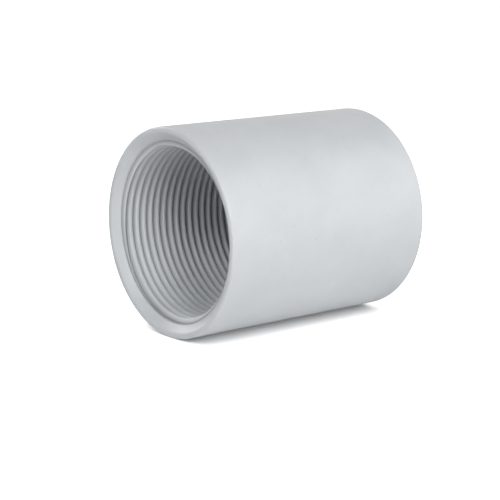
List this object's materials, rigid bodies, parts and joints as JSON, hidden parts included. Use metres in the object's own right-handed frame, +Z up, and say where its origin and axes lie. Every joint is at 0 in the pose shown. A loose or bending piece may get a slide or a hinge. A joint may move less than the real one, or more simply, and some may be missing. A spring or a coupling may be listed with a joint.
{
  "type": "conduit coupling",
  "caption": "Straight round conduit coupling in light grey plastic, with a right-hand internal thread right through and a bevelled mouth at each end.",
  "frame": {"origin": "centre of the lower end face, on the axis of the bore", "axes": "+Z up along the axis of the bore, with the coupling standing on one end; +X and +Y are free, as the wall is round"},
  "size_m": [0.0376, 0.0376, 0.0442],
  "materials": {
    "grey_pvc": "satin"
  },
  "bodies": {
    "root": {"coupling": "grey_pvc"}
  },
  "joints": []
}
